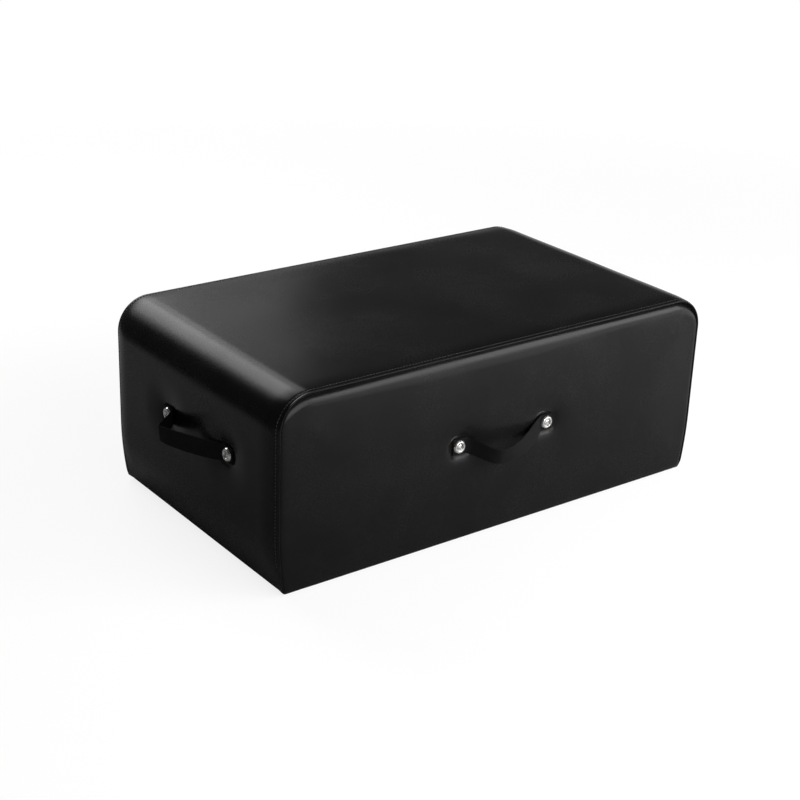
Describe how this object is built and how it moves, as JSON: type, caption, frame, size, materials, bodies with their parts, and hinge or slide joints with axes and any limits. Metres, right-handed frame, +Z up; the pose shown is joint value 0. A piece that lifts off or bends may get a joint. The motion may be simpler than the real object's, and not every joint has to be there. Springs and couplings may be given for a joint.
{
  "type": "pilates sitting box",
  "caption": "Upholstered rectangular sitting box with rounded top ends, a firm padded top and a webbing carry handle on each side.",
  "frame": {"origin": "on the floor under the middle of the box", "axes": "+X along the box's length, +Y across it towards the back, +Z up"},
  "size_m": [0.878, 0.538, 0.302],
  "materials": {
    "black_leather": "semi-matte coated upholstery leather, fine grain",
    "black_webbing": "ribbed polyester webbing",
    "nickel": "nickel plated, slightly soft shine",
    "screw_steel": "zinc plated steel",
    "plywood": "bare birch plywood",
    "foam": "dense grey upholstery foam",
    "black_lining": "non-woven lining cloth",
    "black_rubber": "moulded rubber, matte"
  },
  "bodies": {
    "root": {"top_board": "plywood", "front_board": "plywood", "back_board": "plywood", "left_end_board": "plywood", "right_end_board": "plywood", "left_corner_rail": "plywood", "right_corner_rail": "plywood", "base_board": "plywood", "top_foam": "foam", "front_foam": "foam", "back_foam": "foam", "left_end_foam": "foam", "right_end_foam": "foam", "cover_band": "black_leather", "front_cover_panel": "black_leather", "back_cover_panel": "black_leather", "dust_cover": "black_lining", "front_left_foot": "black_rubber", "front_right_foot": "black_rubber", "back_left_foot": "black_rubber", "back_right_foot": "black_rubber", "front_left_foot_screw": "screw_steel", "front_right_foot_screw": "screw_steel", "back_left_foot_screw": "screw_steel", "back_right_foot_screw": "screw_steel", "front_strap_tab_left": "black_webbing", "front_strap_tab_right": "black_webbing", "front_handle_washer_left": "nickel", "front_handle_washer_right": "nickel", "front_handle_screw_left": "screw_steel", "front_handle_screw_right": "screw_steel", "right_strap_tab_left": "black_webbing", "right_strap_tab_right": "black_webbing", "right_handle_washer_left": "nickel", "right_handle_washer_right": "nickel", "right_handle_screw_left": "screw_steel", "right_handle_screw_right": "screw_steel", "back_strap_tab_left": "black_webbing", "back_strap_tab_right": "black_webbing", "back_handle_washer_left": "nickel", "back_handle_washer_right": "nickel", "back_handle_screw_left": "screw_steel", "back_handle_screw_right": "screw_steel", "left_strap_tab_left": "black_webbing", "left_strap_tab_right": "black_webbing", "left_handle_washer_left": "nickel", "left_handle_washer_right": "nickel", "left_handle_screw_left": "screw_steel", "left_handle_screw_right": "screw_steel"},
    "front_handle": {"front_handle_strap": "black_webbing"},
    "right_handle": {"right_handle_strap": "black_webbing"},
    "back_handle": {"back_handle_strap": "black_webbing"},
    "left_handle": {"left_handle_strap": "black_webbing"}
  },
  "joints": [
    {"name": "front_handle_swing", "type": "hinge", "parent": "root", "child": "front_handle", "pos_m": [-0.003, -0.2445, 0.15288], "axis": [-1, 0, 0], "range_deg": [-60, 80]},
    {"name": "right_handle_swing", "type": "hinge", "parent": "root", "child": "right_handle", "pos_m": [0.4145, -0.014, 0.16688], "axis": [0, -1, 0], "range_deg": [-60, 80]},
    {"name": "back_handle_swing", "type": "hinge", "parent": "root", "child": "back_handle", "pos_m": [-0.003, 0.2445, 0.15288], "axis": [1, 0, 0], "range_deg": [-60, 80]},
    {"name": "left_handle_swing", "type": "hinge", "parent": "root", "child": "left_handle", "pos_m": [-0.4145, -0.014, 0.16688], "axis": [0, 1, 0], "range_deg": [-60, 80]}
  ]
}
